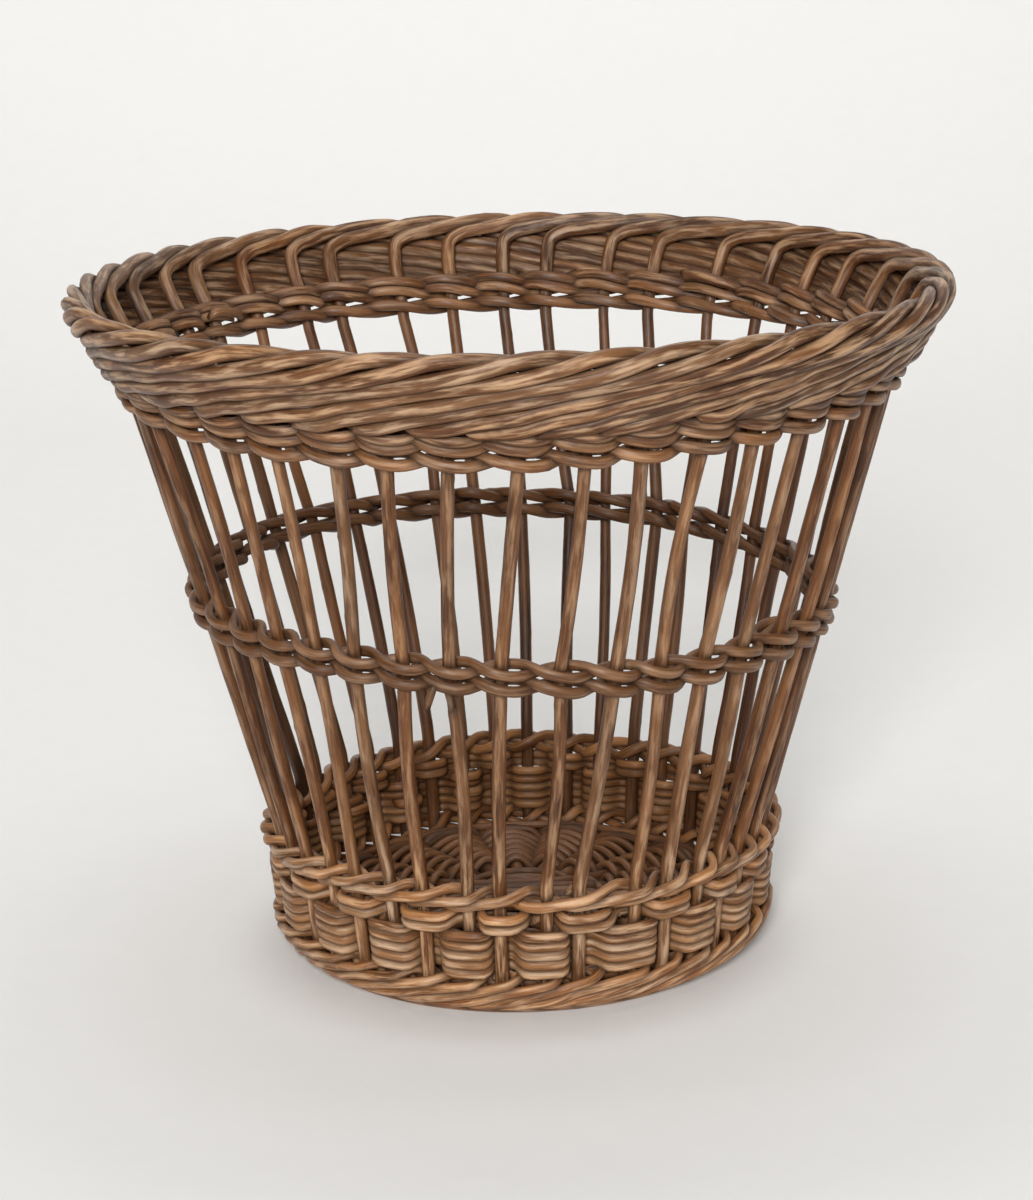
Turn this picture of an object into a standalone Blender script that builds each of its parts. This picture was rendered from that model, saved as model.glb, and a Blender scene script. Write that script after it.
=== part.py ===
"""A round wicker waste basket of willow rods, with a flared open wall and a rolled border.

Forty stakes rise from a woven base. Three bands of weaving hold them: a deep one at the foot,
a twined pair of rows at the waist and a close one at the neck. Between foot and neck the stakes
all lean the same way. At the rim each stake turns over the crest and runs down the outer face
past six neighbours, which makes the border.
Sizes are in metres. A place on the wall is a (radius, height) pair; angles are counted in stakes.
"""

import math

import bpy

# Counts
STAKE_COUNT = 40
STICKS_EACH_WAY = 5
BASE_ROUNDS = 7
LOWER_BAND_ROUNDS = 4
UPPER_BAND_ROUNDS = 3
NECK_ROUNDS = 3
BORDER_STROKES = 6
WALE_STRIDE = 4

# Clearance between rods that touch
GAP = 0.0003

# Rod radii
STAKE_RADIUS = 0.0026
WEAVER_RADIUS = 0.0019
FITCH_RADIUS = 0.00185
BASE_STICK_RADIUS = 0.0027
BASE_WEAVER_RADIUS = 0.0017
FOOT_HOOP_RADIUS = 0.0026
TIP_SHARE = 0.8

# The wall, on the stakes' centreline
FOOT_RADIUS = 0.097
BEND_LEG = 0.0042
BAND_TOP_RADIUS = 0.102
BAND_TOP_HEIGHT = 0.056
FLARE_HEIGHT = 0.0275
FLARE_SPREAD = 0.0145
RIM_RADIUS = 0.1675
RIM_HEIGHT = 0.2715
STAKE_INSERTION = 0.0088

# The stakes' lean: where they stand at the foot and at the neck, anticlockwise of their even places
FOOT_LEAN = math.radians(-2.2)
NECK_LEAN = math.radians(1.8)

# The bands. The one at the waist lies askew: it is highest at one stake and lowest opposite
WAIST_HEIGHT = 0.149
WAIST_TILT = 0.0055
WAIST_HIGH_STAKE = -13
NECK_ROW_STEP = 0.0042
NECK_BAND_DROP = 0.0055

# The border
STROKE_SLIT = 0.0003
STROKE_CLEARANCE = 0.0004

# The base
BASE_CROWN = 0.003
CROSS_MARGIN = 0.003
KNEE_RADIUS = 0.036
STICK_SETBACK = 0.0018
BASE_WEAVE_START = 0.040
BASE_WEAVE_MARGIN = 0.0024

# The turn of the whole basket that brings a stake just left of the front's middle
FRONT_TURN = math.radians(-91.1)

# Shares of a stake's diameter, outwards and upwards from the top of the upright
CREST_SHARES = (0.77, 1.13)
SHOULDER_SHARES = (1.63, 0.33)
FIRST_STROKE_DROP_SHARE = 0.23

# Shares of a stake spacing along the rim
CREST_SPACING_SHARE = 0.45
SHOULDER_SPACING_SHARE = 1.2
TIP_SPACING_SHARE = 0.4
TIP_TUCK_SHARE = 0.35

# Sides of the rods' sections, as curve bevel resolutions
SIX_SIDES = 1
FOUR_SIDES = 0
HOOP_SIDES = 6

SPACING = math.tau / STAKE_COUNT
STICK_ENDS = 4 * STICKS_EACH_WAY
STICK_SPACING = math.tau / STICK_ENDS
BASE_TURN = FOOT_LEAN + SPACING / 2

# Heights that follow from what lies on what
HOOP_HALF_HEIGHT = FOOT_HOOP_RADIUS * math.sin(math.tau / HOOP_SIDES)
STAKE_SEAT = 2 * HOOP_HALF_HEIGHT + GAP + STAKE_RADIUS
STICK_SEAT = 2 * HOOP_HALF_HEIGHT + GAP + BASE_STICK_RADIUS

# Corners of the wall
BAND_TOP = (BAND_TOP_RADIUS, BAND_TOP_HEIGHT)
NECK = (RIM_RADIUS - FLARE_SPREAD, RIM_HEIGHT - FLARE_HEIGHT)
RIM = (RIM_RADIUS, RIM_HEIGHT)


def direction(start, end):
    """The unit vector from one place on the wall to another."""
    length = math.dist(start, end)
    return (end[0] - start[0]) / length, (end[1] - start[1]) / length


def outward(along):
    """The normal of a run, on the basket's outer side."""
    return along[1], -along[0]


def moved(place, way, distance):
    return place[0] + way[0] * distance, place[1] + way[1] * distance


def polar(place, angle):
    """A place on the wall as a point, at an angle about the basket's axis."""
    return place[0] * math.cos(angle), place[0] * math.sin(angle), place[1]


FOOT = (FOOT_RADIUS, STAKE_SEAT)
BEND_START = (FOOT_RADIUS - BEND_LEG, STAKE_SEAT)
BEND_END = moved(FOOT, direction(FOOT, BAND_TOP), BEND_LEG)
WALL = ((BEND_END, FOOT_LEAN), (BAND_TOP, FOOT_LEAN), (NECK, NECK_LEAN), (RIM, NECK_LEAN))


def wall_at(height):
    """A stake's place on the upright wall at a height, its lean there, and its run's direction."""
    for start, end in zip(WALL, WALL[1:]):
        if height <= end[0][1]:
            break
    share = (height - start[0][1]) / (end[0][1] - start[0][1])
    x, y = (low + (high - low) * share for low, high in zip(polar(*start)[:2], polar(*end)[:2]))
    return (math.hypot(x, y), height), math.atan2(y, x), direction(start[0], end[0])


def reaches(radius, rod_radius):
    """How far a rod's outer and inner turns lie from the stakes' centres.

    Between two stakes the rod is straight and passes each at the clearance, so it is the
    crossed tangent of two circles about them.
    """
    clear = STAKE_RADIUS + rod_radius + GAP
    chord = 2 * radius * math.sin(SPACING / 2)
    slant = math.asin(2 * clear / chord)
    return clear / math.cos(slant + SPACING / 2), clear / math.cos(slant - SPACING / 2)


def row_turns(place, normal, rod_radius, stretch=1):
    """The places of a row's outer and inner turns. A stretch allows for a bend in the stakes."""
    outer, inner = reaches(place[0], rod_radius)
    return moved(place, normal, outer * stretch), moved(place, normal, -inner * stretch)


def willow(name, colour, roughness):
    material = bpy.data.materials.new(name)
    material.use_nodes = True
    shader = material.node_tree.nodes["Principled BSDF"]
    shader.inputs["Base Color"].default_value = (*colour, 1)
    shader.inputs["Roughness"].default_value = roughness
    shader.inputs["Metallic"].default_value = 0
    return material


def rod_curve(name, points, radius, material, sides=FOUR_SIDES, closed=False, tip_share=1):
    """A rod along straight runs between points, thinner at its last point by the tip share."""
    curve = bpy.data.curves.new(name, "CURVE")
    curve.dimensions = "3D"
    curve.twist_mode = "Z_UP"
    curve.bevel_depth = radius
    curve.bevel_resolution = sides
    curve.use_fill_caps = not closed
    spline = curve.splines.new("POLY")
    spline.points.add(len(points) - 1)
    for point, place in zip(spline.points, points):
        point.co = (*place, 1)
    spline.points[-1].radius = tip_share
    spline.use_cyclic_u = closed
    spline.use_smooth = True
    curve.materials.append(material)
    return curve


def place_part(name, data, parent, turn=0):
    part = bpy.data.objects.new(name, data)
    part.parent = parent
    part.rotation_euler.z = turn
    bpy.data.collections["wicker_waste_basket"].objects.link(part)
    return part


def stroke_places():
    """A border stroke's places outside the uprights that it passes, and its tucked tip.

    Each is (spacings travelled, place).
    """
    fall = 2 * STAKE_RADIUS + STROKE_SLIT
    off = 2 * STAKE_RADIUS + STROKE_CLEARANCE
    first = RIM_HEIGHT - FIRST_STROKE_DROP_SHARE * 2 * STAKE_RADIUS
    places = []
    for spacing in range(2, BORDER_STROKES + 1):
        place, _, along = wall_at(first - (spacing - 2) * fall)
        places.append((spacing, moved(place, outward(along), off)))
    tip_spacing = BORDER_STROKES + TIP_SPACING_SHARE
    tip, _, along = wall_at(first - (tip_spacing - 2) * fall)
    places.append((tip_spacing, moved(tip, outward(along), off * TIP_TUCK_SHARE)))
    return places, tip[1]


def stake_points():
    """A stake's centreline: out of the base, up the wall, over the crest and down outside."""
    diameter = 2 * STAKE_RADIUS
    insertion = (BEND_START[0] - STAKE_INSERTION, STAKE_SEAT)
    upright = [(insertion, FOOT_LEAN), (BEND_START, FOOT_LEAN), *WALL]
    crest = moved(RIM, CREST_SHARES, diameter)
    shoulder = moved(RIM, SHOULDER_SHARES, diameter)
    turned = [(CREST_SPACING_SHARE, crest), (SHOULDER_SPACING_SHARE, shoulder)]
    turned += stroke_places()[0]
    points = [polar(place, lean) for place, lean in upright]
    points += [polar(place, NECK_LEAN - spacing * SPACING) for spacing, place in turned]
    return points


def make_stakes(parent, material):
    curve = rod_curve("stake", stake_points(), STAKE_RADIUS, material, SIX_SIDES, tip_share=TIP_SHARE)
    for number in range(STAKE_COUNT):
        place_part(f"stake_{number + 1:02d}", curve, parent, number * SPACING)


def make_foot_hoop(parent, material):
    """The hoop under the stakes' bends. Its six-sided section stands on a flat."""
    bpy.ops.mesh.primitive_torus_add(
        major_segments=STAKE_COUNT,
        minor_segments=HOOP_SIDES,
        major_radius=BEND_START[0],
        minor_radius=FOOT_HOOP_RADIUS,
        location=(0, 0, HOOP_HALF_HEIGHT),
    )
    hoop = bpy.context.object
    hoop.name = "foot_hoop"
    hoop.data.materials.append(material)
    hoop.data.shade_smooth()
    for collection in list(hoop.users_collection):
        collection.objects.unlink(hoop)
    bpy.data.collections["wicker_waste_basket"].objects.link(hoop)
    hoop.parent = parent


def woven_points(rows, is_outside):
    """A rod's points, one at each stake, going round once for each row and stepping up between.

    Each row is (the stakes' lean, (outer turns, inner turns)).
    """
    points = []
    for row, (lean, (outer, inner)) in enumerate(rows):
        for stake in range(STAKE_COUNT):
            place = outer if is_outside(row, stake) else inner
            points.append(polar(place, lean + stake * SPACING))
    return points


def make_foot_wale(parent, material):
    """Two rounds of long strokes at the bend: over three stakes, then behind one."""
    chamfer = direction(BEND_START, BEND_END)
    wall = direction(BEND_END, BAND_TOP)
    turn = math.atan2(wall[1], wall[0]) - math.atan2(chamfer[1], chamfer[0])
    mean = math.atan2(chamfer[1], chamfer[0]) + turn / 2
    middle = moved(BEND_START, chamfer, math.dist(BEND_START, BEND_END) / 2)
    corner_normal = outward((math.cos(mean), math.sin(mean)))
    rows = [
        (FOOT_LEAN, row_turns(middle, outward(chamfer), WEAVER_RADIUS)),
        (FOOT_LEAN, row_turns(BEND_END, corner_normal, WEAVER_RADIUS, 1 / math.cos(turn / 2))),
    ]

    def is_outside(row, stake):
        return (stake + 1 + row * WALE_STRIDE // 2) % WALE_STRIDE != 0

    points = woven_points(rows, is_outside)
    place_part("foot_wale", rod_curve("foot_wale", points, WEAVER_RADIUS, material), parent)


def make_foot_band(parent, material):
    """Two weavers above the wale, each round in front of every other stake, in opposite steps."""
    wall = direction(BEND_END, BAND_TOP)
    normal = outward(wall)
    first = 2 * WEAVER_RADIUS + 3 * GAP
    last = math.dist(BEND_END, BAND_TOP) - STAKE_RADIUS
    step = (last - first) / (LOWER_BAND_ROUNDS + UPPER_BAND_ROUNDS - 1)
    rows = [
        (FOOT_LEAN, row_turns(moved(BEND_END, wall, first + step * row), normal, WEAVER_RADIUS))
        for row in range(LOWER_BAND_ROUNDS + UPPER_BAND_ROUNDS)
    ]
    for name, part_rows, outside_step in (
        ("foot_band_lower_weaver", rows[:LOWER_BAND_ROUNDS], 1),
        ("foot_band_upper_weaver", rows[LOWER_BAND_ROUNDS:], 0),
    ):
        points = woven_points(part_rows, lambda row, stake, at=outside_step: stake % 2 == at)
        place_part(name, rod_curve(name, points, WEAVER_RADIUS, material), parent)


def make_neck_band(parent, material):
    """One weaver in close rounds under the border. It passes two stakes once a round."""
    top = stroke_places()[1] - NECK_BAND_DROP
    rows = []
    for row in range(NECK_ROUNDS):
        place, lean, along = wall_at(top - (NECK_ROUNDS - 1 - row) * NECK_ROW_STEP)
        rows.append((lean, row_turns(place, outward(along), FITCH_RADIUS)))
    points = woven_points(rows, lambda row, stake: (stake + row) % 2 == 0)
    place_part("neck_band_weaver", rod_curve("neck_band_weaver", points, FITCH_RADIUS, material), parent)


def waist_height(stake):
    """The height of the waist band's middle at a stake, or between stakes."""
    return WAIST_HEIGHT + WAIST_TILT * math.cos((stake - WAIST_HIGH_STAKE) * SPACING)


def twined_points(rows_height, rise, first_side):
    """One of two rods that twist about each other between the stakes, above or below the waist.

    It is outside one stake and inside the next. Each outer stroke falls to the right, so the rod
    crosses above its partner before an outer turn and below it after.
    """
    points = []
    for stake in range(STAKE_COUNT):
        centre, lean, along = wall_at(waist_height(stake) + rows_height)
        outer, inner = row_turns(centre, outward(along), FITCH_RADIUS)
        side = first_side * (-1) ** stake
        points.append(polar(outer if side > 0 else inner, lean + stake * SPACING))
        centre, lean, along = wall_at(waist_height(stake + 0.5) + rows_height)
        middle = (centre[0] * math.cos(SPACING / 2), centre[1])
        points.append(polar(moved(middle, along, -side * rise), lean + (stake + 0.5) * SPACING))
    return points


def make_waist_fitch(parent, material):
    """Two twined rows at the waist, twisted the same way."""
    place, _, along = wall_at(WAIST_HEIGHT)
    half_gap = FITCH_RADIUS + GAP / 2
    inner = reaches(place[0], FITCH_RADIUS)[1]
    rise = half_gap * inner / math.sqrt(inner**2 - half_gap**2)
    apart = rise + half_gap
    for row_name, side in (("lower", -1), ("upper", 1)):
        rows_height = side * apart * along[1]
        for rod_name, first_side in (("a", 1), ("b", -1)):
            name = f"waist_fitch_{row_name}_{rod_name}"
            points = twined_points(rows_height, rise, first_side)
            curve = rod_curve(name, points, FITCH_RADIUS, material, closed=True)
            place_part(name, curve, parent)


def stick_height(radius):
    """The height of a base stick's centre outside the cross, where it falls to the foot hoop."""
    share = (radius - KNEE_RADIUS) / (BEND_START[0] - KNEE_RADIUS)
    return STICK_SEAT + BASE_CROWN * (1 - share)


def make_base_sticks(parent, material):
    """Five sticks laid over five in a cross, each one fanned out beyond it to both ends."""
    pitch = 2 * BASE_STICK_RADIUS + GAP
    middle = (STICKS_EACH_WAY - 1) / 2
    half_cross = middle * pitch + BASE_STICK_RADIUS + CROSS_MARGIN
    end = BEND_START[0] - STICK_SETBACK
    for layer, side, turn in (("lower", -1, 0), ("upper", 1, math.pi / 2)):
        level = STICK_SEAT + BASE_CROWN + side * pitch / 2
        for number in range(STICKS_EACH_WAY):
            place = number - middle
            fan = place * STICK_SPACING
            half = [(half_cross, place * pitch, level)]
            half += [polar((radius, stick_height(radius)), fan) for radius in (KNEE_RADIUS, end)]
            other_half = [(-x, y, z) for x, y, z in reversed(half)]
            name = f"base_stick_{layer}_{number + 1}"
            curve = rod_curve(name, other_half + half, BASE_STICK_RADIUS, material)
            place_part(name, curve, parent, turn + BASE_TURN)


def make_base_weaver(parent, material):
    """One weaver over and under the base sticks. It passes two sticks once a round."""
    clear = BASE_STICK_RADIUS + BASE_WEAVER_RADIUS + GAP
    stake_end = BEND_START[0] - STAKE_INSERTION
    outermost = stake_end - BASE_WEAVER_RADIUS - BASE_WEAVE_MARGIN
    step = (outermost - BASE_WEAVE_START) / (BASE_ROUNDS - 1)
    points = []
    for round_number in range(BASE_ROUNDS):
        radius = BASE_WEAVE_START + step * round_number
        slant = math.asin(2 * clear / (2 * radius * math.sin(STICK_SPACING / 2)))
        reach = clear / math.cos(slant)
        for end in range(STICK_ENDS):
            over = 1 if (end + round_number) % 2 == 0 else -1
            place = (radius, stick_height(radius) + over * reach)
            points.append(polar(place, end * STICK_SPACING))
    curve = rod_curve("base_weaver", points, BASE_WEAVER_RADIUS, material)
    place_part("base_weaver", curve, parent, BASE_TURN)


def main():
    for old in list(bpy.data.objects):
        bpy.data.objects.remove(old)
    collection = bpy.data.collections.new("wicker_waste_basket")
    bpy.context.scene.collection.children.link(collection)
    basket = bpy.data.objects.new("basket_axis", None)
    basket.rotation_euler.z = FRONT_TURN
    collection.objects.link(basket)

    stake_willow = willow("stake_willow", (0.30, 0.15, 0.07), 0.48)
    weaver_willow = willow("weaver_willow", (0.34, 0.18, 0.09), 0.5)
    waist_willow = willow("waist_willow", (0.40, 0.23, 0.12), 0.45)
    neck_willow = willow("neck_willow", (0.38, 0.21, 0.11), 0.45)
    base_willow = willow("base_willow", (0.22, 0.12, 0.06), 0.55)

    make_stakes(basket, stake_willow)
    make_foot_hoop(basket, weaver_willow)
    make_foot_wale(basket, weaver_willow)
    make_foot_band(basket, weaver_willow)
    make_waist_fitch(basket, waist_willow)
    make_neck_band(basket, neck_willow)
    make_base_sticks(basket, base_willow)
    make_base_weaver(basket, base_willow)


main()
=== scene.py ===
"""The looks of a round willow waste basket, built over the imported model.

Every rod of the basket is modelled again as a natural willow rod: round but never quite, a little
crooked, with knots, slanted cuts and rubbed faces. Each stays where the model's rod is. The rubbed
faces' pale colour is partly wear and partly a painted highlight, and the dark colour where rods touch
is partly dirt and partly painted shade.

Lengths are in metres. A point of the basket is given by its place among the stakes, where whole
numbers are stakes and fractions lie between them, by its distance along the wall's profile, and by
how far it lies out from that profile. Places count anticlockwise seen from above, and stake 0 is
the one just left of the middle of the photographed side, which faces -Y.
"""

import math
from dataclasses import dataclass

import bpy
import numpy as np
from mathutils import Matrix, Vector
from mathutils.kdtree import KDTree


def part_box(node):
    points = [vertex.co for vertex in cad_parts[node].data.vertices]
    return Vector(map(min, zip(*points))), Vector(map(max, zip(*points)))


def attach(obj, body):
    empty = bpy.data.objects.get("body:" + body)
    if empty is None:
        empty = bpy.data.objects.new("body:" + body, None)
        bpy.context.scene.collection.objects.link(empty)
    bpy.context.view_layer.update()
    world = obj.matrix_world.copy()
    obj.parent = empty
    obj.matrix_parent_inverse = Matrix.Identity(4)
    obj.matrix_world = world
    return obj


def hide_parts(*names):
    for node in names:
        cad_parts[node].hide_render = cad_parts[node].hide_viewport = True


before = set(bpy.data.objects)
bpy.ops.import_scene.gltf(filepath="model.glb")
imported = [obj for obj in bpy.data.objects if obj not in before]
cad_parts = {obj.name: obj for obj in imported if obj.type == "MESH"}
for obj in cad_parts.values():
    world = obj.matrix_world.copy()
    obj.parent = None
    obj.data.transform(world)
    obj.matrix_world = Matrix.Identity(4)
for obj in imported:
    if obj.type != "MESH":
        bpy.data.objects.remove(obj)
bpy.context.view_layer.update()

# Random draws: the seed, then the kinds of draws, so that each has its own
SEED = 40
LEAN_DRAWS, SURFACE_DRAWS, STAKE_DRAWS, ROW_DRAWS = range(4)
# What a row draws besides where its rods begin, and what each band draws
PLAIN_WANDER_DRAWS = 1
TWINE_WANDER_DRAWS = 2
FOOT_WANDER_DRAWS = 7
WAIST_WANDER_DRAWS = 11
NECK_WANDER_DRAWS = 12

# Each rod has a number of its own, which its draws start from. These are the first of each kind
STAKE_NUMBERS = 100
STICK_NUMBERS = 300
BASE_NUMBERS = 400
HOOP_NUMBER = 500
BOTTOM_WALE_NUMBERS = 520
LOWER_ROWS_NUMBERS = 600
UPPER_ROWS_NUMBERS = 700
TOP_WALE_NUMBERS = 740
WAIST_NUMBERS = 800
WAIST_TAIL_NUMBERS = 890
NECK_NUMBERS = 900
# How many numbers are kept for a group of rods within a kind, and for a twined pair
ROW_NUMBERS = 10
PAIR_NUMBERS = 40

# Smooth random values are sums of waves. Along a rod each is shorter and weaker than the last
WANDER_WAVES = 3
WANDER_SHORTENING = 1.9
WANDER_WEAKENING = 1.6
WANDER_STRENGTHS = (0.5, 1)
WANDER_SPAN = 1.6
# Round the basket each has a whole number of waves
RING_WAVES = (2, 3, 5, 8)
RING_STRENGTHS = (0.4, 1)
RING_SPAN = 2.2

# Rod radii
STAKE_RADIUS = 0.0027
WEAVER_RADIUS = 0.0020
TWINING_RADIUS = 0.0021
STICK_RADIUS = 0.0027
BASE_WEAVER_RADIUS = 0.0017
HOOP_RADIUS = 0.0025
# The share of its radius that a stake keeps at its tip, and a pressed weaver keeps outwards
STAKE_TIP_SHARE = 0.86
WEAVER_FLAT_SHARE = 0.84
# What is left between rods that touch, between neighbours in the base, and under the hoop
TOUCH = 0.0001
BASE_GAP = 0.0003
FLOOR_GAP = 0.0003

# The wall, on the stakes' centreline, from the base to the rim: (radius, height) of each corner
WALL_CORNERS = ((0.0840, 0.0074), (0.0970, 0.0074), (0.1020, 0.0560), (0.1530, 0.2440), (0.1675, 0.2715))
# The fillets of its inner corners, and how far it runs on past the rim
WALL_FILLETS = (0.006, 0.060, 0.045)
WALL_OVERRUN = 0.020
FILLET_POINTS = 12

# Where the stakes stand. Stake 0 stands at the front turn
STAKE_COUNT = sum(name.startswith("stake_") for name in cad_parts)
SPACING = math.tau / STAKE_COUNT
FRONT_TURN = math.radians(-91.1)
# How far they lean from their even places at some heights, in degrees, and how much that varies
LEAN_HEIGHTS = (0.056, 0.151, 0.236)
MEAN_LEANS = (-2.2, -0.1, 1.8)
LEAN_SCATTER = 0.9
BOW_SCATTER = 0.45
# The front stakes' leans in degrees at those heights, from seven left of stake 0 to seven right of it
FRONT_LEANS = (
    (-2.5, -3.0, -1.7, -3.2, -2.4, -3.4, -1.9, -4.0, -2.7, -4.5, -0.2, -1.1, -0.5, -2.2, -2.6),
    (2.1, 1.8, 1.4, 1.2, -0.2, -0.1, -1.2, -1.6, -0.7, -0.1, -1.1, -1.2, -1.4, 0.2, 1.4),
    (-0.1, 3.2, 3.1, 2.5, 3.3, 1.9, 1.4, 2.0, 2.0, 0.9, 1.2, 0.6, 0.6, 1.6, 1.7),
)

# Points between the knots of a smooth curve, and the rings of a rod's surface
CURVE_SAMPLES = 12
RING_SIDES = 12
RING_STEP = 0.0023
# How much the rods' sizes vary from rod to rod, and along each
ROD_SIZE_SHARES = (0.94, 1.06)
SIZE_WANDER_SHARE = 0.025
SIZE_WAVELENGTH = 0.05
# How far it is from round: (swells round it, their share of the radius, their wavelength along it)
SWELLS = ((2, 0.035, 0.09), (3, 0.020, 0.03))
# The swells are turned by something between these, in radians
SWELL_TURNS = (0, 6)
# Knots: the usual step between them, shares of it to the first and the next, their sizes and shape
KNOT_STEP = 0.042
FIRST_KNOT_SHARES = (0.3, 1)
NEXT_KNOT_SHARES = (0.5, 1.6)
KNOT_SIZE_SHARES = (0.4, 1)
KNOT_RISE = 0.00035
KNOT_LENGTH = 0.0016
KNOT_WIDTH = 0.6
# Both ends are cut at a slant, which fades within this reach
CUT_SLOPE = 1.1
CUT_REACH = 0.0025
# A crevice ends this far from the other rod
CREVICE_REACH = 0.0028
# Each rod has its own stretch of the grain, which begins anywhere within this length
GRAIN_LENGTH = 50

# Where the basket is rubbed pale, partly as wear and partly as a painted highlight: heights between which
# the foot ends, the neck begins and the rim begins
FOOT_ENDS = (0.060, 0.075)
NECK_BEGINS = (0.235, 0.250)
RIM_BEGINS = (0.262, 0.274)
# How much pale wear and painted highlight the neck's inside gets beside its outside, and how far the open
# wall is spared
NECK_INSIDE_WEAR_AND_HIGHLIGHT = 0.7
OPEN_WALL_SPARED = 0.5

# The border. A stake turns over the rim through these (places passed, along past the rim, out)
CREST = (
    (0.0, -0.0240, 0.0000),
    (0.01, -0.0105, 0.0000),
    (0.06, -0.0045, -0.0001),
    (0.25, -0.0013, -0.0004),
    (0.6, 0.0006, -0.0004),
    (1.0, 0.0024, -0.0001),
    (1.5, 0.0050, 0.0011),
    (2.0, 0.0061, 0.0036),
    (2.5, 0.0038, 0.0061),
    (3.0, 0.0004, 0.0066),
)
# Its stroke starts this far past the rim and falls past these uprights, by so much from each to the next
STROKE_STATIONS = (4, 5, 6, 7)
STROKE_START = -0.0050
STROKE_FALL = 0.0060
# How unevenly it lies: up and down, out on an upright, and in between two
STROKE_SCATTER = 0.0004
STROKE_LIFT = 0.0003
STROKE_DIP = 0.0005
# It is wider than the upright by this share, which comes between these shares of the stake's length
STROKE_SPREAD = 0.24
SPREAD_BEGINS = (0.50, 0.58)
# The tip is tucked in somewhere between these places, at this share of the stroke's distance out
TIP_PLACES = (7.25, 7.8)
TIP_OUT_SHARE = 0.5
# The stake's upright has its own points up to this far below the rim
CREST_LENGTH = 0.035
WALL_POINTS = 24
# How deep the border is, and how long a place is along the rim
BORDER_DEPTH = 0.032
PLACE_LENGTH = 0.0262

# Rows of weaving are pieced. A rod reaches past its first and its last stake by these places
ROD_OVERLAP = (0.3, 0.4)
PLACE_SAMPLES = 16
# It tucks in behind the next rod between these places before its last stake, by so many of its radii
TUCK_PLACES = (0.85, 0.3)
TUCK_DEPTH = 2.1
# A plain row: how many rods it is pieced from, how much longer its outer runs are than its inner ones,
# as a turn, its shape, and how much it wanders
PLAIN_ROW_RODS = 2
OUTER_RUN = 0.30
PLAIN_SHARPNESS = 2.8
PLAIN_WANDER = 0.0002
# A wale: its strokes' rise from stake to stake in diameters, and how far out they lie on others in radii
WALE_STEEPNESS = 0.80
WALE_OVERLAP = 0.9
# A twined row: how many rods each of its two strands is pieced from, its shape, and how unevenly it swings
TWINED_ROW_RODS = 1
TWINED_SHARPNESS = 0.9
TWINED_WANDER_SHARE = 0.12

# The foot band: the height of its bottom, and how many stakes its two wales pass outside
FOOT_BAND_HEIGHT = 0.0100
BOTTOM_WALE_OVER = 4
TOP_WALE_OVER = 2
# Steps in weavers' diameters: from the bottom to the bottom wale and to the first of the lower rows,
# from there to the first of the upper rows, and from there to the top wale
BOTTOM_WALE_STEP = 0.4
LOWER_ROWS_STEP = 2.7
UPPER_ROWS_STEP = 4.9
TOP_WALE_STEP = 2.75
# The band's top wanders, and lies lower at the back. Each row takes its share of that
FOOT_WANDER = 0.0010
FOOT_BAND_DIP = 0.0038
LOWER_ROWS_SHARES = (0.1, 0.2, 0.3, 0.4, 0.5)
UPPER_ROWS_SHARES = (0.6, 0.7)
# How much lower the upper rows' outer runs lie than the inner ones
UPPER_ROWS_SETTLED = 0.0006

# The waist band: how far its two rows lie from its middle, and how far their rods swing and sag
WAIST_STEP = 0.0033
WAIST_SWING = 0.0012
WAIST_SAG = 0.0008
# It lies askew. It is highest at one place, lowest opposite, and wanders besides
WAIST_TILT = 0.0055
WAIST_HIGH_PLACE = -13
WAIST_WANDER = 0.0004
# Each is (place, how much higher)
WAIST_LIFTS = (
    (-10, -0.0020),
    (-6, 0.0008),
    (-4, 0.0023),
    (0, 0.0023),
    (1.5, 0.0008),
    (3, -0.0004),
    (5, 0.0010),
    (10, -0.0011),
    (14, 0.0011),
    (17, 0.0022),
    (20, 0.0014),
    (27, 0.0010),
)
# Ends of waist rods that stick out below the band: (place, place of the tip, length, how far out)
WAIST_TAILS = ((-1.32, -1.46, 0.0085, 0.0042), (-1.05, -0.99, 0.0105, 0.0030))
TAIL_POINTS = 12
TAIL_SIZE_SHARE = 0.8

# How far the neck band's rows lie above the middle of the model's, and how far their rods swing
NECK_ROWS = (-0.0019, 0.0045, 0.0088)
NECK_SWING = 0.0013
NECK_WANDER = 0.0005
# How much higher the band and the border's lower edge lie: in front, and more at the back and sides
NECK_RISES = (0.0013, 0.0052, 0.0025)

# The base: a cross of sticks, fanned out beyond their knees
STICKS_EACH_WAY = 5
STICK_ENDS = 4 * STICKS_EACH_WAY
STICK_SPACING = math.tau / STICK_ENDS
# The height of the sticks' ends, and how much higher their middles lie
STICK_SEAT = 0.0075
BASE_CROWN = 0.003
CROSS_HALF = 0.0172
KNEE_RADIUS = 0.036
FAN_RADIUS = 0.060
STICK_REACH = 0.091
BASE_TURN = FRONT_TURN + SPACING / 2
TURN_SAMPLES = 400
# Its weaving. Turns are a rod's way round. Starts are in radians: how far past the rod before it a rod
# begins, and where the corner's only rod begins
CROSS_ROUNDS = 4
CROSS_ROUND_RADIUS = 0.0228
CROSS_TURNS = 1.02
CROSS_START = 1
CROSS_SHARPNESS = 3
CHASING_TURNS = 6.5
CHASING_START = 2.5
CHASING_SHARPNESS = 0.3
EDGE_RADIUS = 0.0838
EDGE_TURNS = 1.01
EDGE_START = 1.7
EDGE_SHARPNESS = 2.5
CORNER_RADIUS = 0.0905
CORNER_START = 3.1

# The hoop: its turns, and how its two ends lie side by side and thin out
HOOP_TURNS = 1.06
HOOP_SAMPLES = 500
HOOP_LAP_SHARE = 0.1
HOOP_LAP_SHIFT = 0.0011
HOOP_END_SHARE = 0.06
HOOP_END_SIZE_SHARE = 0.5
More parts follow.
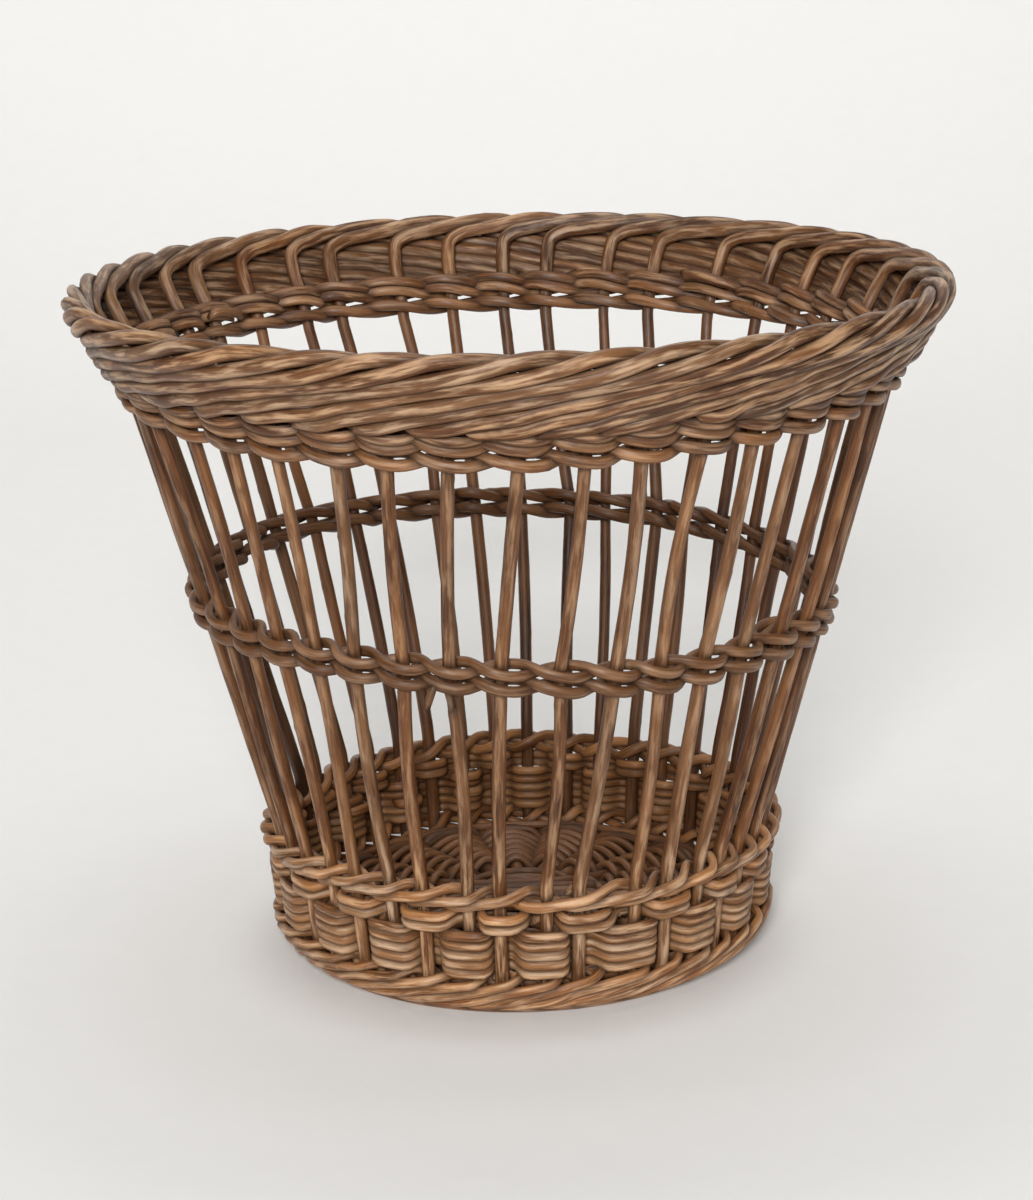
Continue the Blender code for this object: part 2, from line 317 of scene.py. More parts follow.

# Colours of each finish: the darkest rods, the middling ones, the palest and the rubbed places. The rubbed
# places' colour is partly wear and partly a painted highlight
FINISHES = {
    "stakes": (
        (0.044, 0.016, 0.005),
        (0.116, 0.047, 0.017),
        (0.202, 0.096, 0.039),
        (0.62, 0.43, 0.275),
    ),
    # The foot's weave is paler than the other rods, partly in its own tone and partly as painted light that
    # makes up for the lesser light at the foot
    "foot_weave": (
        (0.096, 0.039, 0.013),
        (0.250, 0.113, 0.043),
        (0.400, 0.208, 0.089),
        (0.73, 0.52, 0.35),
    ),
    "waist_weave": (
        (0.033, 0.012, 0.004),
        (0.088, 0.036, 0.013),
        (0.158, 0.076, 0.032),
        (0.50, 0.34, 0.22),
    ),
    "neck_weave": (
        (0.066, 0.026, 0.011),
        (0.170, 0.077, 0.031),
        (0.278, 0.142, 0.063),
        (0.63, 0.44, 0.29),
    ),
    "base": (
        (0.062, 0.026, 0.010),
        (0.147, 0.065, 0.026),
        (0.219, 0.107, 0.047),
        (0.32, 0.175, 0.088),
    ),
}
# Dark brown where rods touch: partly dirt, partly painted shade in the crevices
DIRT_AND_SHADE = (0.042, 0.020, 0.010)
# How warm the warmest rods are beside the coolest
WARMEST = (1.10, 0.94, 0.76)

# The willow's noises: (scale along the rod, scale across it, detail, roughness)
WILLOW_NOISES = {
    "streaks": (38, 1300, 3.0, 0.55),
    "patches": (26, 110, 2.0, 0.55),
    "fibres": (170, 5200, 2.0, 0.55),
    "blotches": (55, 480, 3.0, 0.60),
}
# A rod's tone comes from its tint and these: (noise, its low, its high, how much it changes the tone)
TINT_SHARE = 0.62
TINT_LOW = 0.19
TONE_CHANGES = (("patches", 0.25, 0.75, 0.28), ("streaks", 0.3, 0.7, 0.24), ("fibres", 0.3, 0.7, 0.12))
MIDDLING_TONE = 0.45
# Ranges of a noise, and what they give: (low, high) or (low, high, least, most). The blotches spread the
# pale wear and painted highlight, and the patches spread dirt and painted shade in the crevices
WEAR_AND_HIGHLIGHT_BLOTCHES = (0.42, 0.66)
DIRT_AND_SHADE_PATCHES = (0.2, 0.7, 0.45, 0.85)
ROUGH_STREAKS = (0.25, 0.75, 0.34, 0.50)
WEAR_AND_HIGHLIGHT_STRENGTH = 0.75
SCAR_STRENGTH = 0.75
CREVICE_ROUGHNESS = 0.3
FIBRE_HEIGHT_SHARE = 0.5
BUMP_STRENGTH = 0.60
BUMP_DISTANCE = 0.0004
COAT_WEIGHT = 0.12
COAT_ROUGHNESS = 0.30
SPECULAR_LEVEL = 0.3
# The sockets of a mix of colours, which share their names with others of its node
MIX_COLOURS = (6, 7)
MIX_RESULT = 2

# The studio: a paper that covers the floor and sweeps up behind the basket, as (y, z) corners
PAPER_CORNERS = ((-3.0, 0.0), (2.2, 0.0), (2.2, 3.0))
PAPER_FILLETS = (1.2,)
PAPER_HALF_WIDTH = 4.0
# Its colour, the share of that where it is darkest, and the noise between the two
PAPER_COLOUR = (0.90, 0.89, 0.87)
PAPER_SHADE = 0.97
PAPER_NOISE = (60, 60, 4.0, 0.55)
PAPER_ROUGHNESS = 0.9
# Each lamp is (name, place, what it faces, width, watts)
LAMPS = (
    ("key", (-0.35, -4.00, 1.95), (0, 0, 0.15), 1.40, 175),
    ("top", (0.1, 0.2, 2.8), (0, 0, 0.15), 2.4, 16),
    ("backdrop", (0, 0.6, 2.4), (0, 2.4, 0.9), 1.5, 15),
)
# The world's strength where it lights things, and where the camera sees it
WORLD_COLOUR = (1.0, 0.99, 0.97)
WORLD_LIGHT = 0.15
WORLD_SEEN = 0.72
# The camera looks along +Y, turned down and rolled
CAMERA_PLACE = (0.0003, -1.1459, 0.4612)
CAMERA_DOWN = math.radians(15.53)
CAMERA_ROLL = math.radians(-1.367)
CAMERA_LENS = 86.66


def chance(*numbers):
    """Random draws that belong to one thing, so that a change elsewhere leaves them as they are."""
    return np.random.default_rng([SEED, *numbers])


def unit(vectors):
    return vectors / np.linalg.norm(vectors, axis=-1, keepdims=True)


def smoothstep(low, high, value):
    """Rises smoothly from 0 at low to 1 at high, or falls where high is the lesser of the two."""
    share = np.clip((value - low) / (high - low), 0, 1)
    return share * share * (3 - 2 * share)


def squared(wave, sharpness):
    """A wave from -1 to 1 with its crests and troughs broadened."""
    return np.tanh(sharpness * wave) / math.tanh(sharpness)


def wander(draws, along, wavelength):
    """A smooth random value along a rod, from about -1 to 1."""
    value = np.zeros(len(along))
    for order in range(WANDER_WAVES):
        waves = along / (wavelength / WANDER_SHORTENING**order) + draws.random()
        value += np.sin(math.tau * waves) * draws.uniform(*WANDER_STRENGTHS) / WANDER_WEAKENING**order
    return value / WANDER_SPAN


def ring_wave(draws, place):
    """A smooth random value round the basket, from about -1 to 1, that meets itself."""
    value = np.zeros(len(place))
    for waves in RING_WAVES:
        phase = draws.uniform(0, math.tau)
        value += np.sin(waves * place * SPACING + phase) * draws.uniform(*RING_STRENGTHS)
    return value / RING_SPAN


# The wall


def filleted(corners, fillets):
    """A line through corners, rounded at each of the inner ones."""
    corners = [np.array(corner) for corner in corners]
    line = [corners[0]]
    for before, corner, after, fillet in zip(corners, corners[1:], corners[2:], fillets):
        coming, going = unit(corner - before), unit(after - corner)
        turn = math.atan2(coming[0] * going[1] - coming[1] * going[0], coming @ going)
        leg = fillet * math.tan(abs(turn) / 2)
        start = corner - coming * leg
        inward = math.copysign(1, turn) * np.array((-coming[1], coming[0]))
        for share in np.linspace(0, 1, FILLET_POINTS):
            bend = share * abs(turn)
            line.append(start + coming * fillet * math.sin(bend) + inward * fillet * (1 - math.cos(bend)))
    line.append(corners[-1])
    return np.array(line)


def wall_line():
    """The profile as (along, radius, height, outward radius, outward height), past the rim too."""
    line = filleted(WALL_CORNERS, WALL_FILLETS)
    line = np.vstack((line, line[-1] + unit(line[-1] - line[-2]) * WALL_OVERRUN))
    steps = np.linalg.norm(np.diff(line, axis=0), axis=1)
    along = np.concatenate(([0], np.cumsum(steps)))
    ahead = unit(np.gradient(line, along, axis=0))
    return along, line[:, 0], line[:, 1], ahead[:, 1], -ahead[:, 0]


WALL = wall_line()
RIM_ALONG = WALL[0][-2]


def wall_point(along, out):
    """The radius and height of points by their distance along the wall and out from it."""
    radius, height, out_radius, out_height = (np.interp(along, WALL[0], column) for column in WALL[1:])
    return radius + out * out_radius, height + out * out_height


def along_at(height):
    """How far along the wall a height is."""
    return float(np.interp(height, WALL[2], WALL[0]))


# Where the stakes stand


def stake_leans():
    """Each stake's lean in radians at the lean heights, and its bow between them."""
    draws = chance(LEAN_DRAWS)
    leans = np.array(MEAN_LEANS)[:, None] + draws.normal(0, LEAN_SCATTER, (len(MEAN_LEANS), STAKE_COUNT))
    reach = len(FRONT_LEANS[0]) // 2
    leans[:, np.arange(-reach, reach + 1)] = FRONT_LEANS
    bows = draws.normal(0, BOW_SCATTER, (len(MEAN_LEANS) - 1, STAKE_COUNT))
    return np.radians(leans), np.radians(bows)


LEANS, BOWS = stake_leans()


def lean(stake, height):
    """How far each stake stands from its even place at a height."""
    level = np.interp(height, LEAN_HEIGHTS, range(len(LEAN_HEIGHTS)))
    low = np.minimum(np.floor(level).astype(int), len(LEAN_HEIGHTS) - 2)
    share = level - low
    straight = LEANS[low, stake] * (1 - share) + LEANS[low + 1, stake] * share
    return straight + BOWS[low, stake] * np.sin(math.pi * share)


def basket_points(place, along, out):
    """Points on or off the wall, each followed by the wall's outward direction there."""
    radius, height = wall_point(along, out)
    low = np.floor(place).astype(int)
    share = place - low
    leans = lean(low % STAKE_COUNT, height) * (1 - share) + lean((low + 1) % STAKE_COUNT, height) * share
    angle = FRONT_TURN + place * SPACING + leans
    out_radius, out_height = (np.interp(along, WALL[0], column) for column in WALL[3:])
    return np.column_stack(
        (
            radius * np.cos(angle),
            radius * np.sin(angle),
            height,
            out_radius * np.cos(angle),
            out_radius * np.sin(angle),
            out_height,
        )
    )


# Rods


@dataclass
class Rod:
    """A rod's centreline in even steps, which way is out there, and its radius outwards and across."""

    line: np.ndarray
    out: np.ndarray
    radii: np.ndarray
    number: int


def evenly(points, step):
    """The same line in even steps. What follows each point's three coordinates goes with it."""
    along = np.concatenate(([0], np.cumsum(np.linalg.norm(np.diff(points[:, :3], axis=0), axis=1))))
    marks = np.linspace(0, along[-1], max(2, round(along[-1] / step) + 1))
    return np.column_stack([np.interp(marks, along, column) for column in points.T])


def curve_through(knots):
    """A smooth curve through knots."""
    knots = np.array(knots, float)
    runs = np.linalg.norm(np.diff(knots, axis=0), axis=1)[:, None]
    slopes = np.diff(knots, axis=0) / runs
    middle = (slopes[:-1] * runs[1:] + slopes[1:] * runs[:-1]) / (runs[1:] + runs[:-1])
    tangents = np.vstack((slopes[:1], middle, slopes[-1:]))
    share = np.linspace(0, 1, CURVE_SAMPLES, endpoint=False)[:, None]
    points = []
    for start, end, leave, arrive, run in zip(knots, knots[1:], tangents, tangents[1:], runs):
        points.append(
            start * (1 + 2 * share) * (1 - share) ** 2
            + end * share**2 * (3 - 2 * share)
            + leave * run * share * (1 - share) ** 2
            + arrive * run * share**2 * (share - 1)
        )
    return np.vstack((*points, knots[-1:]))


def make_rod(points, radius, number, tip_share=1, flat=1):
    """A rod along points. It thins towards its end, and a flat share thins it outwards all along."""
    points = evenly(points, RING_STEP)
    share = np.linspace(0, 1, len(points))
    draws = chance(SURFACE_DRAWS, number)
    size = radius * draws.uniform(*ROD_SIZE_SHARES) * (1 - (1 - tip_share) * share)
    size *= 1 + SIZE_WANDER_SHARE * wander(draws, share * len(points) * RING_STEP, SIZE_WAVELENGTH)
    radii = np.column_stack((size * flat, size / math.sqrt(flat)))
    return Rod(points[:, :3], points[:, 3:], radii, number)


def knots_on(draws, along, turn):
    """How much of a knot each point of a rod's surface has."""
    knots = np.zeros((len(along), len(turn)))
    at = draws.uniform(*FIRST_KNOT_SHARES) * KNOT_STEP
    while at < along[-1]:
        off = (turn - draws.uniform(0, math.tau) + math.pi) % math.tau - math.pi
        spot = np.exp(-(((along - at) / KNOT_LENGTH) ** 2))[:, None] * np.exp(-((off / KNOT_WIDTH) ** 2))
        knots += spot * draws.uniform(*KNOT_SIZE_SHARES)
        at += draws.uniform(*NEXT_KNOT_SHARES) * KNOT_STEP
    return knots


def rod_surface(rod):
    """The rings of a rod's surface: points, facings, and the values that its finish reads."""
    draws = chance(SURFACE_DRAWS, rod.number, 1)
    ahead = unit(np.gradient(rod.line, axis=0))
    side = unit(rod.out - np.sum(rod.out * ahead, axis=1, keepdims=True) * ahead)
    other = np.cross(ahead, side)
    turn = np.linspace(0, math.tau, RING_SIDES, endpoint=False)
    facing = side[:, None] * np.cos(turn)[:, None] + other[:, None] * np.sin(turn)[:, None]
    along = np.arange(len(rod.line)) * RING_STEP

    swell = 0
    for lobes, strength, wavelength in SWELLS:
        wave = strength * wander(draws, along, wavelength)[:, None]
        swell = swell + wave * np.cos(lobes * turn + draws.uniform(*SWELL_TURNS))
    depth = np.hypot(rod.radii[:, :1] * np.cos(turn), rod.radii[:, 1:] * np.sin(turn)) * (1 + swell)
    knots = knots_on(draws, along, turn)
    depth = depth + KNOT_RISE * knots

    points = rod.line[:, None] + facing * depth[:, :, None]
    slant = np.cos(turn + draws.uniform(0, math.tau)) * CUT_SLOPE
    for end, way in ((0, -1), (-1, 1)):
        near = np.exp(-np.abs(along - along[end]) / CUT_REACH)[:, None, None]
        points += ahead[:, None] * near * (slant * rod.radii[end, 0] * way)[:, None]

    place = np.empty_like(points)
    place[:, :, 0] = along[:, None] + draws.uniform(0, GRAIN_LENGTH)
    place[:, :, 1] = depth * np.cos(turn)
    place[:, :, 2] = depth * np.sin(turn)
    tint = np.full(depth.shape, draws.random())
    warmth = np.full(depth.shape, draws.random())
    return points, facing, {"rod_place": place, "tint": tint, "warmth": warmth, "knot": knots}


def all_rods_tree(pieces):
    """A search tree of every rod's centreline, with the rod and radius of each point in it."""
    rods = [rod for piece in pieces for rod in piece.rods]
    tree = KDTree(sum(len(rod.line) for rod in rods))
    owners, radii = [], []
    for rod in rods:
        for point, radius in zip(rod.line, rod.radii.mean(axis=1)):
            tree.insert(point, len(owners))
            owners.append(rod.number)
            radii.append(radius)
    tree.balance()
    return tree, np.array(owners), np.array(radii)


def crevices(rod, points, search):
    """How close each point of a rod's surface lies to another rod: 1 where they touch."""
    tree, owners, radii = search
    depth = np.zeros(points.shape[:2])
    reach = STAKE_RADIUS * 2 + CREVICE_REACH
    for index, centre in enumerate(rod.line):
        found = [(place, number) for place, number, _ in tree.find_range(centre, reach)]
        found = [(place, number) for place, number in found if owners[number] != rod.number]
        if not found:
            continue
        near = np.array([place for place, _ in found])
        bare = radii[[number for _, number in found]]
        clear = np.linalg.norm(points[index][:, None] - near[None], axis=2) - bare
        depth[index] = 1 - smoothstep(0, CREVICE_REACH, clear.min(axis=1))
    return depth


def wear_and_highlight(points, facing):
    """How far each point of the surface faces what rubs it: hands and feet outside, and the rim's top.

    The pale colour laid there is partly wear and partly a painted highlight.
    """
    height = points[:, :, 2]
    outward = np.sum(facing * unit(points * (1, 1, 0)), axis=2)
    top = facing[:, :, 2] * smoothstep(*RIM_BEGINS, height)
    inside = -NECK_INSIDE_WEAR_AND_HIGHLIGHT * outward * smoothstep(*NECK_BEGINS, height)
    open_wall = smoothstep(*FOOT_ENDS, height) * smoothstep(*reversed(NECK_BEGINS), height)
    wear_and_highlight_kept = 1 - OPEN_WALL_SPARED * open_wall
    return np.clip(np.maximum(np.maximum(outward, inside), top), 0, 1) * wear_and_highlight_kept


# Stakes


def neck_rise(place):
    """How much higher than its mean the neck band lies at a place."""
    turn = place * SPACING
    front, back, side = NECK_RISES
    return front + back * (1 - np.cos(turn)) / 2 + side * (1 - np.cos(2 * turn)) / 2


def border_knots(stake, draws):
    """A stake's way over the rim and down outside: (places passed, along past the rim, out)."""
    stand_off = 2 * STAKE_RADIUS + TOUCH

    def fallen(passed):
        steepness = 1 - neck_rise(stake - passed) / BORDER_DEPTH
        return STROKE_START - STROKE_FALL * (passed - STROKE_STATIONS[0]) * steepness

    knots = list(CREST)
    for station in STROKE_STATIONS:
        jog = draws.normal(0, STROKE_SCATTER)
        lift = abs(draws.normal(0, STROKE_LIFT))
        knots.append((station, fallen(station) + jog, stand_off + lift))
        if station != STROKE_STATIONS[-1]:
            middle = station + 0.5
            knots.append((middle, fallen(middle) + jog / 2, stand_off - STROKE_DIP))
    tip = draws.uniform(*TIP_PLACES)
    knots.append((tip, fallen(tip), stand_off * TIP_OUT_SHARE))
    return knots


def stake_rod(stake):
    """A stake: up the wall, over the rim, and down outside past its neighbours."""
    draws = chance(STAKE_DRAWS, stake)
    border = [
        (passed * PLACE_LENGTH, RIM_ALONG + along, out)
        for passed, along, out in border_knots(stake, draws)
    ]
    wall = [(0, along, 0) for along in np.linspace(0, RIM_ALONG - CREST_LENGTH, WALL_POINTS)]
    path = curve_through(wall + border)
    points = basket_points(stake - path[:, 0] / PLACE_LENGTH, path[:, 1], path[:, 2])
    rod = make_rod(points, STAKE_RADIUS, STAKE_NUMBERS + stake, STAKE_TIP_SHARE)
    laid = smoothstep(*SPREAD_BEGINS, np.linspace(0, 1, len(rod.line)))
    rod.radii[:, 1] *= 1 + STROKE_SPREAD * laid
    return rod


# Bands


def round_rods(path, radius, number, starts):
    """Rods that follow each other once round the basket, each beginning at a stake that it passes inside.

    A rod that ends lies inside the next one's beginning. The path gives (along, out) for places.
    """
    rods = []
    ends = [*starts[1:], starts[0] + STAKE_COUNT]
    before, after = ROD_OVERLAP
    tuck_starts, tuck_ends = TUCK_PLACES
    for index, (start, end) in enumerate(zip(starts, ends)):
        place = np.linspace(start - before, end + after, int((end - start) * PLACE_SAMPLES))
        along, out = path(place)
        out = out - TUCK_DEPTH * radius * smoothstep(end - tuck_starts, end - tuck_ends, place)
        points = basket_points(place, along, out)
        rods.append(make_rod(points, radius, number + index, flat=WEAVER_FLAT_SHARE))
    return rods


def join_stakes(draws, inside, count):
    """Stakes, in order, where a row's rods begin: some of those that it passes inside."""
    return sorted(draws.choice(inside, count, replace=False).tolist())


def plain_row(along, number, outside, wave, settled=0):
    """A row that passes outside every other stake: the odd ones or the even ones.

    Its outer runs can lie lower than the inner ones, as they do where the rows below step inwards.
    """
    draws = chance(ROW_DRAWS, number)
    reach = STAKE_RADIUS + WEAVER_RADIUS * WEAVER_FLAT_SHARE
    inside = [stake for stake in range(STAKE_COUNT) if stake % 2 != outside]

    def path(place):
        uneven = ring_wave(chance(ROW_DRAWS, number, PLAIN_WANDER_DRAWS), place)
        up = along + wave(place) + PLAIN_WANDER * uneven
        turn = math.pi * (place - outside)
        side = squared(np.cos(turn - OUTER_RUN * np.sin(turn)), PLAIN_SHARPNESS)
        return up - settled * np.maximum(side, 0), reach * side

    return round_rods(path, WEAVER_RADIUS, number, join_stakes(draws, inside, PLAIN_ROW_RODS))


def wale(along, number, over, wave):
    """A round of rods that each pass outside some stakes and inside one, in slanting strokes."""
    cycle = over + 1
    reach = STAKE_RADIUS + WEAVER_RADIUS * WEAVER_FLAT_SHARE
    row_height = over * 2 * WEAVER_RADIUS * WALE_STEEPNESS

    def path_of(first):
        def path(place):
            phase = (place - first) % cycle
            rise = np.clip((phase - 0.5) / over, 0, 1) - 0.5
            back = smoothstep(0, 1, (phase + 0.5) % cycle)
            inside = (phase < 0.5) | (phase > cycle - 0.5)
            up = np.where(inside, 0.5 - back, rise) * row_height
            dive = np.minimum(phase, cycle - phase)
            out = np.where(dive < 1, -np.cos(math.pi * dive), 1) * reach
            over_others = smoothstep(1, over, phase) * smoothstep(cycle, over, phase)
            return along + wave(place) + up, out + WEAVER_RADIUS * WALE_OVERLAP * over_others

        return path

    rods = []
    for first in range(cycle):
        rods += round_rods(path_of(first), WEAVER_RADIUS, number + ROW_NUMBERS * first, [first])
    return rods


def twined_pair(along, number, wave, swing, sag=0):
    """Two rods that twist about each other between the stakes, as a list of lists of rods.

    Their outer strokes fall to the right. Inside the stakes they can sag in front and be drawn up
    at the back.
    """
    reach = STAKE_RADIUS + TWINING_RADIUS * WEAVER_FLAT_SHARE
    pair = []
    for first in (0, 1):

        def path(place, first=first):
            turn = math.pi * (place - first)
            uneven = ring_wave(chance(ROW_DRAWS, number, TWINE_WANDER_DRAWS), place)
            up = along + wave(place) + swing * (1 + TWINED_WANDER_SHARE * uneven) * np.sin(turn)
            up = up - sag * np.cos(place * SPACING) * np.maximum(np.cos(turn), 0)
            return up, -reach * squared(np.cos(turn), TWINED_SHARPNESS)

        draws = chance(ROW_DRAWS, number, first)
        inside = [stake for stake in range(STAKE_COUNT) if stake % 2 == first]
        starts = join_stakes(draws, inside, TWINED_ROW_RODS)
        pair.append(round_rods(path, TWINING_RADIUS, number + ROW_NUMBERS * first, starts))
    return pair


# Base


def turned(points, angle):
    return points @ np.array(Matrix.Rotation(angle, 3, "Z")).T


def upright(points):
    """Points followed by the upward direction, as the base's rods need."""
    return np.hstack((points, np.tile((0, 0, 1), (len(points), 1))))


def stick_rod(layer, number):
    """A base stick: straight through the cross, then fanned out to both ends."""
    pitch = 2 * STICK_RADIUS + BASE_GAP
    place = number - (STICKS_EACH_WAY - 1) / 2
    fan = place * STICK_SPACING
    level = STICK_SEAT + BASE_CROWN + layer * pitch / 2
    half = [(CROSS_HALF / 2, place * pitch, level), (CROSS_HALF, place * pitch, level)]
    for radius in (KNEE_RADIUS, FAN_RADIUS, STICK_REACH):
        half.append((radius * math.cos(fan), radius * math.sin(fan), stick_height(radius)))
    other = [(-x, y, z) for x, y, z in reversed(half)]
    quarter = math.pi / 2 if layer > 0 else 0
    points = turned(curve_through(other + half), BASE_TURN + quarter)
    return make_rod(upright(points), STICK_RADIUS, STICK_NUMBERS + ROW_NUMBERS * (layer + 1) + number)


def stick_height(radius):
    """How high the fanned sticks' centrelines lie. The base is highest in the middle."""
    share = np.clip((radius - KNEE_RADIUS) / (STICK_REACH - KNEE_RADIUS), 0, 1)
    return STICK_SEAT + BASE_CROWN * (1 - share)


def base_rod(radii, turns, start, heights, number):
    """A rod wound on the base between two radii. The heights come from angle and radius."""
    angle = np.linspace(start, start + turns * math.tau, int(turns * TURN_SAMPLES))
    radius = np.linspace(*radii, len(angle))
    points = np.column_stack((radius * np.cos(angle), radius * np.sin(angle), heights(angle, radius)))
    return make_rod(upright(turned(points, BASE_TURN)), BASE_WEAVER_RADIUS, number)


def base_rods():
    """Rounds over the arms of the cross, two weavers that chase each other, and rounds by the wall."""
    reach = STICK_RADIUS + BASE_WEAVER_RADIUS + TOUCH
    pitch = 2 * BASE_WEAVER_RADIUS + BASE_GAP
    middle = STICK_SEAT + BASE_CROWN

    def over_arms(side):
        def heights(angle, radius):
            arm = squared(np.cos(2 * angle), CROSS_SHARPNESS)
            upper = reach + STICK_RADIUS
            lower = reach - STICK_RADIUS
            return middle + np.where(arm * side > 0, lower, upper) * arm * side

        return heights

    def over_sticks(side, sharpness):
        def heights(angle, radius):
            return stick_height(radius) + side * reach * squared(np.cos(angle * STICK_ENDS / 2), sharpness)

        return heights

    def on_stakes(angle, radius):
        return np.full(len(angle), WALL_CORNERS[0][1] + STAKE_RADIUS + BASE_WEAVER_RADIUS)

    rods = []
    sides = (1, -1)
    number = BASE_NUMBERS
    for index in range(CROSS_ROUNDS):
        radius = CROSS_ROUND_RADIUS + index * pitch
        start = index * CROSS_START
        heights = over_arms((-1) ** index)
        rods.append(base_rod((radius, radius), CROSS_TURNS, start, heights, number + index))
    first = CROSS_ROUND_RADIUS + CROSS_ROUNDS * pitch
    number += ROW_NUMBERS
    for index, side in enumerate(sides):
        inner = first + index * pitch
        outer = inner + CHASING_TURNS * 2 * pitch
        start = index * CHASING_START
        heights = over_sticks(side, CHASING_SHARPNESS)
        rods.append(base_rod((inner, outer), CHASING_TURNS, start, heights, number + index))
    number += ROW_NUMBERS
    for index, side in enumerate(sides):
        radius = EDGE_RADIUS + index * 2 * BASE_WEAVER_RADIUS
        start = index * EDGE_START
        heights = over_sticks(side, EDGE_SHARPNESS)
        rods.append(base_rod((radius, radius), EDGE_TURNS, start, heights, number + index))
    number += len(sides)
    rods.append(base_rod((CORNER_RADIUS, CORNER_RADIUS), EDGE_TURNS, CORNER_START, on_stakes, number))
    return rods


def hoop_rod():
    """The hoop that the basket stands on: one rod, its two thinned ends lying side by side."""
    low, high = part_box("foot_hoop")
    radius = (high.x - low.x) / 2 - HOOP_RADIUS
    angle = np.linspace(0, math.tau * HOOP_TURNS, HOOP_SAMPLES)
    share = angle / angle[-1]
    lap = smoothstep(1 - HOOP_LAP_SHARE, 1, share) - smoothstep(HOOP_LAP_SHARE, 0, share)
    ring = radius + HOOP_LAP_SHIFT * lap
    points = np.column_stack((ring * np.cos(angle), ring * np.sin(angle), np.full(len(angle), HOOP_RADIUS)))
    rod = make_rod(upright(points), HOOP_RADIUS, HOOP_NUMBER)
    share = np.linspace(0, 1, len(rod.line))
    whole = smoothstep(0, HOOP_END_SHARE, share) * smoothstep(1, 1 - HOOP_END_SHARE, share)
    rod.radii = np.minimum(rod.radii, HOOP_RADIUS)
    rod.radii *= (HOOP_END_SIZE_SHARE + (1 - HOOP_END_SIZE_SHARE) * whole)[:, None]
    rod.line[:, 2] = rod.radii[:, 0] + FLOOR_GAP
    return rod


# Pieces


@dataclass
class Piece:
    """What becomes one object: its rods, what it is made of, and the node that it stands for."""

    name: str
    rods: list
    slot: str
    node: str


def stakes():
    return [
        Piece(f"willow_stake_{stake + 1:02d}", [stake_rod(stake)], "stakes", f"stake_{stake + 1:02d}")
        for stake in range(STAKE_COUNT)
    ]


def foot_band():
    """From the floor up: a wale, rows outside the odd stakes, rows outside the even ones and a wale."""
    pitch = 2 * WEAVER_RADIUS
    bottom = along_at(FOOT_BAND_HEIGHT)

    def rising(share):
        def wave(place):
            dip = FOOT_BAND_DIP * (1 - np.cos(place * SPACING)) / 2
            return share * (FOOT_WANDER * ring_wave(chance(ROW_DRAWS, FOOT_WANDER_DRAWS), place) - dip)

        return wave

    start = bottom + LOWER_ROWS_STEP * pitch
    lower, upper = [], []
    for index, share in enumerate(LOWER_ROWS_SHARES):
        number = LOWER_ROWS_NUMBERS + ROW_NUMBERS * index
        lower += plain_row(start + index * pitch, number, 1, rising(share))
    start += UPPER_ROWS_STEP * pitch
    for index, share in enumerate(UPPER_ROWS_SHARES):
        number = UPPER_ROWS_NUMBERS + ROW_NUMBERS * index
        upper += plain_row(start + index * pitch, number, 0, rising(share), UPPER_ROWS_SETTLED)
    upper += wale(start + TOP_WALE_STEP * pitch, TOP_WALE_NUMBERS, TOP_WALE_OVER, rising(1))
    start = bottom + BOTTOM_WALE_STEP * pitch
    bottom_wale = wale(start, BOTTOM_WALE_NUMBERS, BOTTOM_WALE_OVER, rising(0))
    return [
        Piece("foot_hoop_rod", [hoop_rod()], "foot_weave", "foot_hoop"),
        Piece("foot_wale_rods", bottom_wale, "foot_weave", "foot_wale"),
        Piece("foot_band_lower_rods", lower, "foot_weave", "foot_band_lower_weaver"),
        Piece("foot_band_upper_rods", upper, "foot_weave", "foot_band_upper_weaver"),
    ]


def band_middle(*nodes):
    """The distance along the wall of the middle of some nodes."""
    boxes = [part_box(node) for node in nodes]
    return along_at((min(low.z for low, _ in boxes) + max(high.z for _, high in boxes)) / 2)


def waist_wave(place):
    """How much higher than its middle height the waist band lies at a place."""
    tilt = WAIST_TILT * np.cos((place - WAIST_HIGH_PLACE) * SPACING)
    places, lifts = zip(*WAIST_LIFTS)
    lift = np.interp(place, places, lifts, period=STAKE_COUNT)
    return tilt + lift + WAIST_WANDER * ring_wave(chance(ROW_DRAWS, WAIST_WANDER_DRAWS), place)


def waist_tail(middle, number, start, tip, length, out):
    """The end of a waist rod that sticks out below the band."""
    share = np.linspace(0, 1, TAIL_POINTS)
    place = start + (tip - start) * share
    along = middle + waist_wave(place) - WAIST_STEP - length * share
    points = basket_points(place, along, np.full(TAIL_POINTS, out))
    return make_rod(points, TWINING_RADIUS * TAIL_SIZE_SHARE, number, tip_share=TAIL_SIZE_SHARE)


def waist_band():
    """Two twined rows, each of two rods, and two ends that stick out below."""
    nodes = [f"waist_fitch_{row}_{rod}" for row in ("lower", "upper") for rod in "ab"]
    middle = band_middle(*nodes)
    rods = []
    for index, side in enumerate((-1, 1)):
        number = WAIST_NUMBERS + PAIR_NUMBERS * index
        rods += twined_pair(middle + side * WAIST_STEP, number, waist_wave, WAIST_SWING, WAIST_SAG)
    for index, tail in enumerate(WAIST_TAILS):
        rods[0].append(waist_tail(middle, WAIST_TAIL_NUMBERS + index, *tail))
    return [Piece(f"{node}_rod", rod, "waist_weave", node) for node, rod in zip(nodes, rods)]


